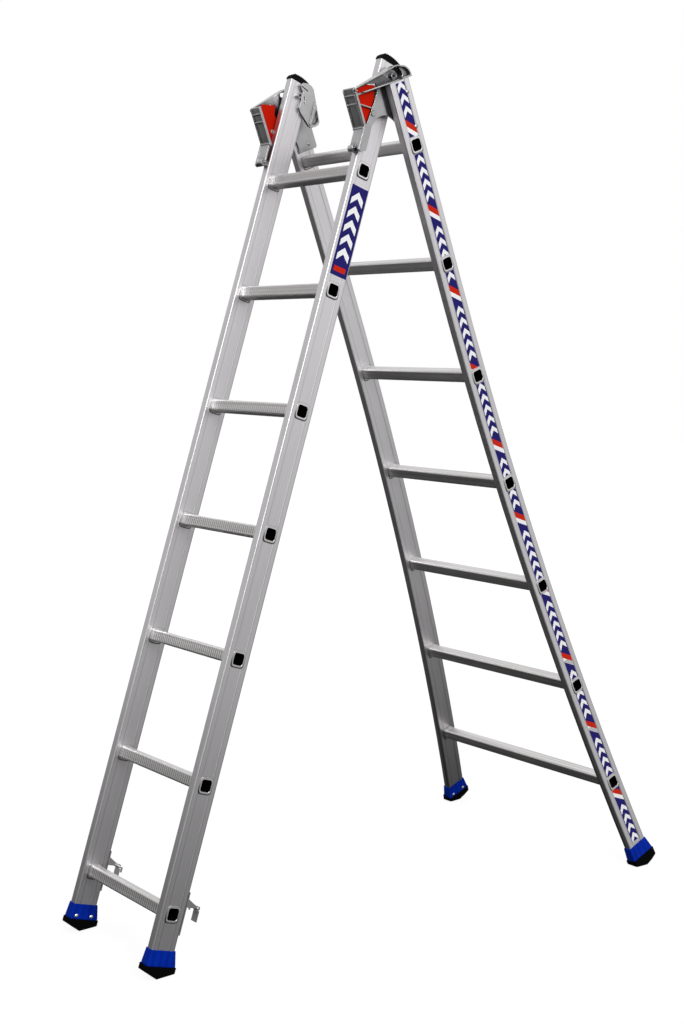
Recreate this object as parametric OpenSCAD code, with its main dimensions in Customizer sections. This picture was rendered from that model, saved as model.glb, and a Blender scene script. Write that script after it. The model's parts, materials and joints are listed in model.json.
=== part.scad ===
// Multi position ladder, opened as a trestle: two sections of box stiles and square rungs that
// turn on two hinge pins in cast head guides. Front of the ladder is -Y, width is X, floor is z = 0.

/* [Sections] */
// Distance between two rungs along the stiles
rung_pitch = 280; // [260:1:300]
// Rungs in each section
rung_count = 7; // [5:1:8]
// Outer width of the front section
front_w = 354; // [330:1:400]
// Lean of the front section from upright
front_lean = 17.9; // [16:0.1:20]
// Lean of the rear section from upright
rear_lean = 21.1; // [19:0.1:23]
// Top front rung below the hinge axis
front_first = 222; // [215:1:240]
// Lowest front rung to the floor along the stile
front_below = 137; // [125:1:170]
// Top rear rung below the hinge axis
rear_first = 158; // [155:1:170]
// Front stile end above the hinge axis
front_top = 32; // [28:1:40]
// Space between a front stile and the head plate beside it
side_gap = 10; // [9:0.5:14]
// Start of the rear stiles' outward curve below the top rear rung
flare_start = 328; // [200:1:400]
// Radius of the rear stiles' outward curve
flare_r = 8400; // [7500:100:12000]

/* [Stiles] */
// Stile depth
stile_d = 60; // [56:1:66]
// Stile thickness
stile_t = 20; // [18:1:24]
// Stile wall
stile_wall = 1.8; // [1.5:0.1:2.2]
// Stile edge radius
stile_r = 3; // [2.5:0.5:4]
// Width of the sunk panel along each stile face
panel_w = 28; // [20:1:34]
// Depth of the sunk panel
panel_sink = 0.6; // [0.3:0.1:0.8]

/* [Rungs] */
// Rung width and height
rung_size = 28; // [26:1:32]
// Rung wall
rung_wall = 1.8; // [1.5:0.1:2.5]
// Rung corner radius
rung_r = 5; // [4:0.5:7]
// Width of the flared rim above and below the rung
rim_w = 3.6; // [1.5:0.1:4]
// Width of the flared rim in front of and behind the rung
rim_side = 2.2; // [1:0.1:3]
// Thickness of the flared rim
rim_t = 1.4; // [1:0.1:2]
// Wall left at the widened mouth of a rung
mouth_wall = 0.6; // [0.5:0.1:1]
// Depth of the widened mouth
mouth_l = 5; // [3:0.5:8]
// Thickness of the collar round a rung inside the stile
collar_w = 1.2; // [0.8:0.1:2]
// Length of the collar
collar_l = 9; // [4:0.5:12]

/* [Feet] */
// Height of a shoe sleeve
shoe_h = 34; // [28:1:45]
// Wall of a shoe sleeve at its top edge
shoe_wall = 2; // [1.5:0.1:3]
// Outward slope of a shoe sleeve over its height, along the stile depth
shoe_flare_d = 4.5; // [2:0.5:7]
// Backward shift of the sleeve's lower edge and the sole
shoe_shift = 2.5; // [0:0.5:4]
// Corner radius of the shoes
shoe_r = 3; // [2.5:0.5:5]
// Outward slope of a shoe sleeve over its height, across the stile
shoe_flare_t = 2.2; // [1:0.1:4]
// Shoe floor under the stile end
shoe_floor = 3; // [2.5:0.5:6]
// Sole height at its middle
sole_h = 25; // [22:1:34]
// Overhang of the sole round the shoe
sole_lip = 2.4; // [0.5:0.1:3]
// Lowest line of a front sole ahead of the stile's middle
toe_d = 4; // [0:0.5:8]
// Rise of a front sole ahead of its lowest line
toe_rise = 23; // [15:1:28]
// Rise of a rear sole behind its lowest line
heel_rise = 8; // [5:1:15]
// Second rise of a rear sole, over its rear half
heel_turn = 17; // [12:1:25]
// Rivet radius in the shoes, hooks and heads
rivet_r = 2.4; // [2:0.1:3]

/* [Head guides] */
// Casting wall
head_wall = 5; // [4:0.5:6]
// Outward step of the web from the plate on the rear stile
web_step = 4.5; // [3:0.5:8]
// Front flange thickness
flange_t = 4.5; // [4:0.5:6]
// Front face of the flange ahead of the hinge axis
flange_d = 120; // [115:1:130]
// Width of the flange
flange_w = 39; // [36:0.5:46]
// Radius of the ribs across the flange
flange_rib = 2.5; // [2:0.1:3.5]
// Radius of the upper bar's round end
bar_r = 37; // [34:0.5:40]
// Width of the rims of the upper bar
bar_rim = 3; // [2:0.5:4]
// Length of the plate riveted to the rear stile, below the hinge axis
plate_drop = 134; // [130:1:140]
// Rear stile end below the hinge axis
rear_top = 12; // [11:1:16]
// Lock boss ahead of the front stile's middle
boss_d = 41.5; // [40:0.5:46]
// Lock boss below the hinge axis along the front stile
boss_drop = 186; // [180:1:192]
// Lock boss radius
boss_r = 8; // [7:0.5:9]
// Lock pin radius
lock_pin_r = 3; // [2.5:0.1:4]
// Lock lever thickness beside the stile
lever_t = 9; // [7:0.5:10]
// Hinge pin radius
pin_r = 5; // [4:0.5:6]
// Radius of the ring round the hinge pin
ring_r = 9; // [8:0.5:10]

/* [Hooks] */
// Hook plate thickness
hook_t = 7; // [5:0.5:8]
// Rung hook sheet thickness
strap_t = 2.5; // [2:0.1:3.5]
// Space between the stile and a hook tongue
hook_gap = 33; // [31:1:40]
// Tongue length below its pin
tongue_l = 30; // [24:1:34]
// Hook pin radius
hook_pin_r = 2.2; // [1.8:0.1:2.6]

/* [Hidden] */
$fn = 48;
// Space left between fixed pieces
fit = 0.05;
// Radial clearance of turning pieces
run = 0.07;
// Cutting allowance
cut = 1;
open_angle = front_lean + rear_lean;
front_leg = front_first + (rung_count - 1) * rung_pitch + front_below;
pivot_h = front_leg * cos(front_lean);
rear_leg = pivot_h / cos(rear_lean);
front_x = front_w / 2 - stile_t / 2;
front_in = front_w / 2 - stile_t;
plate_x = front_w / 2 + side_gap;
rear_in = plate_x + head_wall;
rear_x = rear_in + stile_t / 2;
rear_out = rear_in + stile_t;
web_x = plate_x + web_step;
web_out = web_x + head_wall;
flange_in = web_out - flange_w;
flange_out = web_out - 3;
shoe_d = stile_d + 2 * (shoe_wall + shoe_flare_d);
shoe_t = stile_t + 2 * (shoe_wall + shoe_flare_t);
sole_half = shoe_d / 2 + sole_lip;
foot_stack = sole_h + shoe_floor;
flare_s = -(rear_first + flare_start);
flare_x = rear_x + flare_r;
rear_end_s = -rear_leg + foot_stack;
rear_end_a = bend_a(rear_end_s, 0);
// Farthest front and rear edges of the soles from the hinge axis
sole_front = (sole_half - shoe_shift) * cos(front_lean) - toe(sole_half - shoe_shift) * sin(front_lean);
sole_rear = (sole_half + shoe_shift) * cos(rear_lean) - heel(sole_half + shoe_shift) * sin(rear_lean);
pivot_y = (sole_front - sole_rear) / 2;
boss = to_rear(-boss_d, -boss_drop);
// Arm between flange and boss, ahead of the front stile
arm_d = stile_d / 2 + 8;
arm_t = 5;
arm_in = flange_in + 3;
boss_in = flange_in + 6;
// Height at which the flange meets the front of the arm
bend_s = ((arm_d + arm_t) * cos(open_angle) - flange_d) / sin(open_angle);
bend_low = bend_s * cos(open_angle) + (arm_d + arm_t) * sin(open_angle);
// Height at which the flange meets the back of the arm
knee_s = (flange_t - flange_d + arm_d * cos(open_angle)) / sin(open_angle);
knee_low = knee_s * cos(open_angle) + arm_d * sin(open_angle);
bar_low = fit - rear_top;
lever_x = web_x - 1 - lever_t;
lever_at = [-0.72 * flange_d, 0.76 * bend_low];
front_hook_s = -(front_leg - front_below);
hook_pin_d = stile_d / 2 + hook_gap;
hook_pin_s = front_hook_s + 17;
hook_half = stile_t / 2 - 0.5;
knuckle_r = hook_pin_r + strap_t;
knuckle_w = 5;
SIDES = ["left", "right"];

// Height of a front sole's underside a distance d ahead of the stile, and of a rear sole's behind it
function toe(d) = -front_leg - toe_d * tan(front_lean) + (d - toe_d) * tan(toe_rise);
function heel(d) = -rear_leg + d * tan(heel_rise) + max(0, d - stile_d * 0.37) * (tan(heel_turn) - tan(heel_rise));
// Height of a rung below the hinge axis, counted from the top
function front_s(i) = -(front_first + (i - 1) * rung_pitch);
function rear_s(i) = -(rear_first + (i - 1) * rung_pitch);
// Tilt and X of the rear stile at height s, off = outward distance from its middle
function bend_a(s, off) = s > flare_s ? 0 : asin((flare_s - s) / (flare_r - off));
function bend_x(s, off) = s > flare_s ? rear_x + off : flare_x - (flare_r - off) * cos(bend_a(s, off));
// A point given beside the open front stile, in the rear section's depth and height
function to_rear(d, s) = [
    d * cos(open_angle) + s * sin(open_angle),
    s * cos(open_angle) - d * sin(open_angle)
];
// X of the head wall's inner face along its sweep from web to plate
function sweep(k, n) = [
    web_x - web_step * (1 - cos(180 * k / n)) / 2,
    -stile_d / 2 - 2 - 4 * web_step * (1 - k / n)
];

module front_frame() translate([0, pivot_y, pivot_h]) rotate([-front_lean, 0, 0]) children();

module rear_frame() translate([0, pivot_y, pivot_h]) rotate([rear_lean, 0, 0]) children();

module on_side(s) {
    if (s == "right") {
        children();
    } else {
        mirror([1, 0, 0]) children();
    }
}

// Outline in depth and height, drawn out from x0 to x1
module slab(x0, x1) translate([x0, 0, 0]) rotate([90, 0, 90]) linear_extrude(x1 - x0) children();

// Round bar along X at a depth and height
module bar_x(x0, x1, r, at = [0, 0]) translate([x0, at[0], at[1]]) rotate([0, 90, 0]) cylinder(r = r, h = x1 - x0);

module rounded_rect(w, h, r) {
    square([w - 2 * r, h], center = true);
    square([w, h - 2 * r], center = true);
    for (x = [-1, 1], y = [-1, 1]) {
        translate([x * (w / 2 - r), y * (h / 2 - r)]) circle(r = r);
    }
}

// Straight band between two circles, a hair inside their outer tangents so that it crosses them
module band(a, ra, b, rb) {
    dir = atan2(b[1] - a[1], b[0] - a[0]);
    off = acos((ra - rb) / norm(b - a));
    ka = 0.995 * ra;
    kb = 0.995 * rb;
    polygon([
        a + ka * [cos(dir + off), sin(dir + off)],
        a + ka * [cos(dir - off), sin(dir - off)],
        b + kb * [cos(dir - off), sin(dir - off)],
        b + kb * [cos(dir + off), sin(dir + off)]
    ]);
}

// Two circles joined by a band
module link(a, ra, b, rb) {
    band(a, ra, b, rb);
    translate(a) circle(r = ra);
    translate(b) circle(r = rb);
}

// Polygon with round corners, r beyond its points, which run counterclockwise
module soft_poly(pts, r) {
    polygon(pts);
    for (i = [0 : len(pts) - 1]) {
        band(pts[i], r, pts[(i + 1) % len(pts)], r);
        translate(pts[i]) circle(r = r);
    }
}

module stile_profile() {
    difference() {
        rounded_rect(stile_t, stile_d, stile_r);
        for (x = [-1, 1]) {
            scale([x, 1]) polygon([
                [stile_t / 2 + cut, -panel_w / 2 - panel_sink - cut],
                [stile_t / 2 - panel_sink, -panel_w / 2],
                [stile_t / 2 - panel_sink, panel_w / 2],
                [stile_t / 2 + cut, panel_w / 2 + panel_sink + cut]
            ]);
        }
        rounded_rect(stile_t - 2 * stile_wall - 2 * panel_sink, stile_d - 2 * stile_wall, stile_r - 1);
    }
}

module rung_hole(x, s) {
    translate([x - 1.5 * stile_t, 0, s]) slab(0, 3 * stile_t)
        rounded_rect(rung_size + 2 * fit, rung_size + 2 * fit, rung_r + fit);
}

// Ring round a rung, lying on the stile face at x with tilt a
module rung_ring(x, s, a, side, w, t) {
    mid = rung_size - rung_wall;
    translate([x, 0, s]) rotate([0, -a, 0]) slab(0, t) difference() {
        rounded_rect(rung_size + 2 * side, rung_size / cos(a) + 2 * w, rung_r + side);
        rounded_rect(mid, mid, rung_r - rung_wall / 2);
    }
}

// Widened mouth of a rung end
module rung_mouth(x, s) {
    w = rung_size - 2 * mouth_wall;
    translate([0, 0, s]) slab(x - mouth_l, x + 2 * stile_t) rounded_rect(w, w, rung_r + 1.5);
}

// Collar round a rung against the inner stile face at x with tilt a
module rung_collar(x, s, a) {
    mid = rung_size - rung_wall;
    difference() {
        translate([0, 0, s]) slab(x - collar_l, x + stile_t) difference() {
            rounded_rect(rung_size + 2 * collar_w, rung_size + 2 * collar_w, rung_r + collar_w);
            rounded_rect(mid, mid, rung_r - rung_wall / 2);
        }
        translate([x - fit / cos(a), 0, s]) rotate([0, -a, 0])
            translate([0, -stile_d, -stile_d]) cube([4 * stile_t, 2 * stile_d, 2 * stile_d]);
    }
}

// Square tube through both stiles, its ends rolled over outside and collared inside
module rung(s, x_out, x_in, a) {
    for (side = SIDES) {
        on_side(side) {
            difference() {
                rung_ring(x_out + fit / cos(a), s, a, rim_side, rim_w, rim_t);
                rung_mouth(x_out, s);
            }
            rung_collar(x_in, s, a);
        }
    }
    difference() {
        translate([0, 0, s]) slab(-x_out - 2 * stile_t, x_out + 2 * stile_t) difference() {
            rounded_rect(rung_size, rung_size, rung_r);
            rounded_rect(rung_size - 2 * rung_wall, rung_size - 2 * rung_wall, rung_r - rung_wall);
        }
        for (side = SIDES) {
            on_side(side) {
                translate([x_out + fit / cos(a), 0, s]) rotate([0, -a, 0])
                    translate([rim_t / 2, -stile_d, -stile_d]) cube([4 * stile_t, 2 * stile_d, 2 * stile_d]);
                rung_mouth(x_out, s);
            }
        }
    }
}

// Rivet along X with a low head at x1 and a plain end at x0
module rivet(x0, x1, at, r) {
    bar_x(x0, x1, r, at);
    translate([x1, at[0], at[1]]) rotate([0, 90, 0]) rotate_extrude() intersection() {
        translate([0, -2.2 * r]) circle(r = 3 * r);
        square([2 * r, r]);
    }
}

// Sleeve over a stile end, which stands at z = 0
module shoe() {
    difference() {
        hull() {
            translate([0, 0, shoe_h - shoe_floor - 2]) linear_extrude(2)
                rounded_rect(stile_t + 2 * shoe_wall, stile_d + 2 * shoe_wall, shoe_r, $fn = 32);
            translate([0, shoe_shift, -shoe_floor]) linear_extrude(4)
                rounded_rect(shoe_t, shoe_d, shoe_r, $fn = 32);
        }
        linear_extrude(shoe_h) rounded_rect(stile_t + 2 * fit, stile_d + 2 * fit, stile_r);
        for (y = [-1, 1]) {
            shoe_rivet_cut(y);
            mirror([1, 0, 0])
                bar_x(shoe_face - fit, shoe_t, 2 * rivet_r + fit, [y * shoe_rivet_d, shoe_rivet_z]);
        }
    }
}

shoe_rivet_d = stile_d / 3;
shoe_rivet_z = 4;
// X of the sleeve's inner side at the rivets
shoe_face = stile_t / 2 + shoe_wall + shoe_flare_t * 0.9;

module shoe_rivet_cut(y) {
    mirror([1, 0, 0]) bar_x(0, shoe_t, rivet_r + fit, [y * shoe_rivet_d, shoe_rivet_z]);
}

module shoe_rivets() {
    for (y = [-1, 1]) {
        mirror([1, 0, 0]) rivet(stile_t / 2 - 4, shoe_face, [y * shoe_rivet_d, shoe_rivet_z], rivet_r);
    }
}

// Sole block under a shoe, deep enough to be trimmed to the floor
module sole_block() {
    translate([0, shoe_shift, -shoe_floor - fit - sole_h - stile_t]) linear_extrude(sole_h + stile_t)
        rounded_rect(shoe_t + 2 * sole_lip, shoe_d + 2 * sole_lip, shoe_r + sole_lip / 2);
}

// Everything above the underside of the front soles: flat on the floor, the toe rising
module front_underside() {
    slab(-4 * rear_out, 4 * rear_out) polygon([
        [-toe_d, toe(toe_d)],
        [2 * stile_d, 2 * stile_d * tan(front_lean) - front_leg],
        [2 * stile_d, 0],
        [-2 * stile_d, 0],
        [-2 * stile_d, toe(2 * stile_d)]
    ]);
}

// Everything above the underside of the rear soles: flat on the floor, the heel rising in two steps
module rear_underside() {
    slab(-4 * rear_out, 4 * rear_out) polygon([
        [0, heel(0)],
        [stile_d * 0.37, heel(stile_d * 0.37)],
        [2 * stile_d, heel(2 * stile_d)],
        [2 * stile_d, 0],
        [-2 * stile_d, 0],
        [-2 * stile_d, 2 * stile_d * tan(rear_lean) - rear_leg]
    ]);
}

module front_end() translate([front_x, 0, -front_leg + foot_stack]) children();

module rear_end() translate([bend_x(rear_end_s, 0), 0, rear_end_s]) rotate([0, -rear_end_a, 0]) children();

module front_stile(s) {
    color([0.75, 0.76, 0.77]) front_frame() on_side(s) difference() {
        front_end() linear_extrude(front_leg - foot_stack + front_top) stile_profile();
        for (i = [1 : rung_count]) {
            rung_hole(front_x, front_s(i));
        }
        bar_x(front_in - cut, front_w / 2 + cut, pin_r + fit);
        front_end() for (y = [-1, 1]) {
            shoe_rivet_cut(y);
        }
        hook_rivet_cuts();
    }
}

module rear_stile(s) {
    color([0.75, 0.76, 0.77]) rear_frame() on_side(s) difference() {
        union() {
            translate([rear_x, 0, flare_s]) linear_extrude(-flare_s - rear_top) stile_profile();
            translate([flare_x, 0, flare_s]) rotate([90, 0, 0]) rotate([0, 0, 180])
                rotate_extrude(angle = rear_end_a, $fn = 96) translate([flare_r, 0]) stile_profile();
        }
        for (i = [1 : rung_count]) {
            rung_hole(bend_x(rear_s(i), 0), rear_s(i));
        }
        for (at = HEAD_RIVETS) {
            bar_x(rear_in - cut, rear_out + cut, rivet_r + fit, at);
        }
        rear_end() for (y = [-1, 1]) {
            shoe_rivet_cut(y);
        }
    }
}

module front_rung(i) {
    color([0.78, 0.79, 0.8]) front_frame() rung(front_s(i), front_w / 2, front_in, 0);
}

module rear_rung(i) {
    s = rear_s(i);
    color([0.78, 0.79, 0.8]) rear_frame()
        rung(s, bend_x(s, stile_t / 2), bend_x(s, -stile_t / 2), bend_a(s, 0));
}

module front_shoe(s) {
    color([0.02, 0.2, 0.65]) front_frame() on_side(s) front_end() shoe();
}

module rear_shoe(s) {
    color([0.02, 0.2, 0.65]) rear_frame() on_side(s) rear_end() shoe();
}

module front_sole(s) {
    color([0.05, 0.05, 0.06]) front_frame() on_side(s) intersection() {
        front_end() sole_block();
        front_underside();
    }
}

module rear_sole(s) {
    color([0.05, 0.05, 0.06]) rear_frame() on_side(s) intersection() {
        rear_end() sole_block();
        rear_underside();
    }
}

module front_shoe_rivets() {
    color([0.85, 0.85, 0.86]) front_frame() for (s = SIDES) {
        on_side(s) front_end() shoe_rivets();
    }
}

module rear_shoe_rivets() {
    color([0.85, 0.85, 0.86]) rear_frame() for (s = SIDES) {
        on_side(s) rear_end() shoe_rivets();
    }
}

cap_rise = 14.5;
cap_half = stile_d / 2 + 0.8;
cap_r = 1.5 * stile_d;
// Crown of the cap ahead of the stile's middle
cap_crown = stile_d / 6;
cap_ribs = 12;

// Arched stile cap with grip ribs across its top and a plug in the stile
module front_cap(s) {
    rib_front = asin((cap_crown - cap_half + 9) / cap_r);
    rib_back = asin((cap_crown + cap_half - 5) / cap_r);
    color([0.05, 0.05, 0.06]) front_frame() on_side(s) translate([front_x, 0, front_top + fit]) {
        slab(-stile_t / 2, stile_t / 2 + 0.6) {
            intersection() {
                translate([-cap_crown, cap_rise - cap_r]) circle(r = cap_r, $fn = 96);
                rounded_rect(2 * cap_half, 2 * cap_rise + 1, cap_rise - 0.5);
                translate([-cap_half - cut, 0]) square([2 * cap_half + 2 * cut, cap_rise + cut]);
            }
            for (k = [0 : cap_ribs - 1]) {
                a = rib_front + (rib_back - rib_front) * k / (cap_ribs - 1);
                translate([cap_r * sin(a) - cap_crown, cap_rise - cap_r + cap_r * cos(a)])
                    circle(r = 1.3, $fn = 24);
            }
        }
        translate([0, 0, -14]) linear_extrude(15)
            rounded_rect(stile_t - 2 * stile_wall - 2.4, stile_d - 2 * stile_wall - 1, 1.5);
    }
}

HOOK_PLATE = [
    [17, -36],
    [50, -56.3],
    [57.5, -57],
    [67.5, -49.7],
    [74, -42.5],
    [74.5, -34.5],
    [34.5, 30.5],
    [26, 35.5],
    [15, 35.5],
    [3, 32],
    [-2.5, 25],
    [9.5, 12],
    [9.5, -27]
];

// Cast hook on the inner face of a front stile
module hook_plate(s) {
    face = front_in - hook_t;
    color([0.6, 0.61, 0.62]) front_frame() on_side(s) difference() {
        union() {
            slab(face - fit, front_in - fit) soft_poly(HOOK_PLATE, 1.5);
            slab(face - 3, face + cut) link([50, 1], 1.6, [50.5, -53], 1.6);
        }
        slab(face - cut, front_in - 2.5) soft_poly([[57.5, -49], [65, -46], [71, -35], [59, -14]], 1.5);
        slab(face - cut, front_in - 4) link([15.5, 2], 1.5, [20, -13], 1.5);
        slab(face - cut, front_in - 4.5) link([1.5, 23.5], 1.4, [20, 20], 1.4);
    }
}

// Shouldered pin on which the front section turns
module hinge_pin(s) {
    color([0.7, 0.7, 0.72]) front_frame() on_side(s) difference() {
        union() {
            bar_x(front_in - hook_t - 2.5, web_out + 1, pin_r);
            bar_x(front_w / 2 + 0.1, plate_x - 0.5, pin_r + 3);
        }
        bar_x(web_out - 4, web_out + 2, pin_r / 2);
    }
}

module hinge_nut(s) {
    color([0.8, 0.8, 0.82]) front_frame() on_side(s) difference() {
        bar_x(front_in - hook_t, front_in - fit, pin_r + 2.6, $fn = 6);
        bar_x(front_in - hook_t - cut, front_in + cut, pin_r + fit);
    }
}

HEAD_RIVETS = [[15, -41], [14.5, -119]];
EYE_FRONT = [-24, 12];
EYE_BACK = [5, 1];
BAR_BACK = [-1, -15];
BAR_FRONT = [4 - flange_d, 1];
BAR_HEEL = [12, -9];
ARCH = [-0.55 * flange_d, 1.515 * bend_low];
WINDOW_FRONT = flange_t - flange_d + 2.5;
WINDOW = [
    [WINDOW_FRONT, 0.95 * bend_low],
    [-0.64 * flange_d, 0.49 * bend_low],
    [-0.45 * flange_d, 0.17 * bend_low],
    [-0.47 * flange_d, -3],
    [-0.7 * flange_d, 2],
    [WINDOW_FRONT, 0]
];
// Heights of the ribs across window and flange
RIBS = [bar_low + bar_rim / 2, 0.37 * bend_low];

// Upper bar of a head guide, in outside by e from its edge
module head_bar(e) {
    intersection() {
        union() {
            link(BAR_BACK, bar_r - e, BAR_FRONT, 4 - min(e, 2.5));
            translate(BAR_HEEL) circle(r = bar_r - 9.7 - e);
        }
        translate([-flange_d - cut, bar_low + e]) square([2 * flange_d, flange_d]);
    }
}

// Side view of the thin wall of a head guide
module head_side() {
    difference() {
        union() {
            head_bar(0);
            polygon([
                [-flange_d, 3],
                [-stile_d / 2, 3],
                [-stile_d / 2 + 10, ARCH[1]],
                to_rear(-0.75 * stile_d / 2, -boss_drop + 44),
                to_rear(-0.75 * stile_d / 2, -boss_drop),
                to_rear(-arm_d + 2, -boss_drop - 8),
                to_rear(-arm_d - arm_t, -boss_drop - 5),
                [-flange_d, bend_low]
            ]);
            translate([5, -plate_drop / 2 - 2]) rounded_rect(66, plate_drop - 4, 6);
        }
        translate(ARCH) circle(r = -0.607 * bend_low, $fn = 96);
    }
}

// Opening in front of the lever, crossed by two ribs
module window_cut() {
    difference() {
        soft_poly(WINDOW, 1.5);
        translate([-2 * flange_d, bar_low - cut]) square([2 * flange_d, bar_rim + cut]);
        link([-flange_d, RIBS[1]], 1.4, [-0.7 * flange_d, 0.62 * bend_low], 1.4);
    }
}

// Plan of the wall: web beside the lever, swept inward to the plate on the rear stile
module head_plan() {
    n = 8;
    inner = concat([[web_x, -2 * flange_d]], [for (k = [0 : n]) sweep(k, n)], [[plate_x, flange_d]]);
    outer = [for (k = [len(inner) - 1 : -1 : 0]) inner[k] + [head_wall - fit, 0]];
    polygon(concat(inner, outer));
}

// Plan of the upper bar, wide over the rear stile and slimmer towards the flange
module bar_plan() {
    inner = [for (k = [0 : 8]) sweep(k, 8)];
    polygon(concat(
        [[web_x, -flange_d - cut]],
        inner,
        [
            [plate_x, flange_d],
            [rear_out + 1, flange_d],
            [rear_out + 1, -stile_d / 2 - 2],
            [web_out + 2, -flange_d - cut]
        ]
    ));
}

module arm_side() {
    polygon([
        [flange_t - flange_d, bend_low],
        [flange_t - flange_d, knee_low],
        to_rear(-arm_d, -boss_drop),
        to_rear(-arm_d - arm_t + 1, -boss_drop),
        [-flange_d + 1, bend_low]
    ]);
}

// Flange with two ribs, a bead below and a rim down each side
module flange() {
    slab(flange_in, flange_out) translate([-flange_d, bend_low - 3]) square([flange_t, 7 - bend_low]);
    for (z = RIBS) {
        bar_x(flange_in, flange_out, flange_rib, [-flange_d, z]);
    }
    bar_x(flange_in, flange_out, flange_rib, [flange_rib - flange_d, 4]);
    bar_x(flange_in, flange_out, 4, [1.2 - flange_d, bend_low - 3]);
    for (x = [flange_in, flange_out - 4]) {
        slab(x, x + 4) translate([-flange_d - 2, bend_low - 2]) square([3, 5 - bend_low]);
    }
}

// Arm below the flange, its round boss, and the pad that meets the open front stile
module arm() {
    slab(arm_in, web_x + cut) arm_side();
    bar_x(boss_in, lever_x - 1, boss_r, boss);
    slab(boss_in, front_w / 2 - 1) polygon([
        to_rear(-stile_d / 2 - 0.3, -boss_drop + 6),
        to_rear(-stile_d / 2 - 0.3, -boss_drop - 5),
        to_rear(-boss_d, -boss_drop - 5),
        to_rear(-boss_d, -boss_drop + 6)
    ]);
}

// Cast guide on a rear stile: bar and web outside, plate inside the stile, flange in front
module head(s) {
    color([0.5, 0.51, 0.52]) rear_frame() on_side(s) difference() {
        union() {
            intersection() {
                slab(plate_x - cut, web_out + cut) head_side();
                translate([0, 0, -3 * flange_d]) linear_extrude(4 * flange_d) head_plan();
            }
            difference() {
                intersection() {
                    slab(plate_x - cut, rear_out + 2) head_bar(0);
                    translate([0, 0, -3 * flange_d]) linear_extrude(4 * flange_d) bar_plan();
                }
                slab(web_out, rear_out + 3) intersection() {
                    head_bar(bar_rim);
                    translate([14 - 2 * flange_d, -flange_d]) square(2 * flange_d);
                }
                slab(rear_out - 5, rear_out + 3) intersection() {
                    head_bar(bar_rim + 0.5);
                    translate([13, -flange_d]) square(2 * flange_d);
                }
            }
            flange();
            arm();
            bar_x(plate_x, web_out + 3, ring_r);
            slab(web_x, web_out + 2) translate([-6, bar_low]) square([12, rear_top - 2]);
        }
        slab(plate_x - cut, rear_out + 2) window_cut();
        difference() {
            slab(plate_x - cut, rear_out + 2) link(EYE_FRONT, 5, EYE_BACK, 12.5);
            bar_x(plate_x - 2, web_out + 3, ring_r);
            slab(web_x, web_out + 2) translate([-6, bar_low - cut]) square([12, rear_top - 1]);
        }
        bar_x(plate_x - 2, rear_out + 2, pin_r + run);
        bar_x(lever_x - 2, web_out + 2, lock_pin_r + fit, lever_at);
        for (at = HEAD_RIVETS) {
            bar_x(plate_x - cut, rear_in + cut, rivet_r + fit, at);
        }
    }
}

module head_rivets() {
    color([0.8, 0.8, 0.82]) rear_frame() for (s = SIDES) {
        on_side(s) for (at = HEAD_RIVETS) {
            rivet(plate_x - 0.5, rear_out + fit, at, rivet_r);
            translate([2 * plate_x, 0, 0]) mirror([1, 0, 0]) rivet(plate_x - 3, plate_x + fit, at, rivet_r);
        }
    }
}

// Pin held in the web, with a head inside the lever
module lock_pin(s) {
    color([0.8, 0.8, 0.82]) rear_frame() on_side(s) {
        bar_x(lever_x - 2, web_out + 1, lock_pin_r, lever_at);
        bar_x(lever_x - 2.2, lever_x - 0.3, lock_pin_r + 2, lever_at);
        bar_x(web_out + 0.1, web_out + 2, lock_pin_r + 2, lever_at);
    }
}

LEVER = [
    [0.085 * flange_d - flange_d, 0.93 * bend_low],
    to_rear(-stile_d / 2 - 4, -boss_drop + 54),
    to_rear(-stile_d / 2 - 4, -boss_drop + 3),
    to_rear(-stile_d / 2 - 0.5, -boss_drop + 3),
    to_rear(-stile_d / 2 - 0.5, -boss_drop + 46),
    [-0.74 * flange_d, 0.975 * bend_low],
    [-0.53 * flange_d, 0.53 * bend_low],
    [-0.56 * flange_d, 0.33 * bend_low],
    [-0.48 * flange_d, 0.08 * bend_low],
    [-0.72 * flange_d, 4],
    [0.11 * flange_d - flange_d, 2]
];

// Red lever beside the stile, its tail behind the arm
module lock_lever(s) {
    color([0.8, 0.08, 0.02]) rear_frame() on_side(s) difference() {
        slab(lever_x, web_x - 1) soft_poly(LEVER, 1.5);
        bar_x(lever_x - cut, web_x + cut, lock_pin_r + run, lever_at);
    }
}

HOOK_RIVETS = [40, -36];

module hook_rivet_cuts() {
    for (r = HOOK_RIVETS) {
        translate([front_x, 0, front_hook_s + r]) rotate([-90, 0, 0]) cylinder(r = rivet_r + fit, h = stile_d);
    }
}

// Sheet bracket on the back of a front stile, holding the tongue's pin
module rung_hook(s) {
    back = stile_d / 2 + fit;
    pin = [hook_pin_d, hook_pin_s];
    color([0.72, 0.73, 0.74]) front_frame() on_side(s) difference() {
        union() {
            slab(front_x - hook_half, front_x + hook_half) {
                translate([back, front_hook_s - 44]) square([strap_t, 94]);
                translate([back, pin[1] + hook_pin_r]) square([hook_gap, strap_t]);
            }
            for (x = [-1, 1]) {
                translate([front_x + x * (hook_half - knuckle_w / 2), 0, 0])
                    bar_x(-knuckle_w / 2, knuckle_w / 2, knuckle_r, pin);
                translate([front_x + x * (hook_half - strap_t / 2), 0, 0]) slab(-strap_t / 2, strap_t / 2)
                    polygon([[back, pin[1]], [back, pin[1] + 20], pin + [-6, hook_pin_r + strap_t], pin]);
            }
        }
        slab(front_x - hook_half + knuckle_w, front_x + hook_half - knuckle_w)
            translate(pin) circle(r = knuckle_r + 0.4);
        bar_x(front_in - 10, front_x + stile_t, hook_pin_r + fit, pin);
        hook_rivet_cuts();
    }
}

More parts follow.
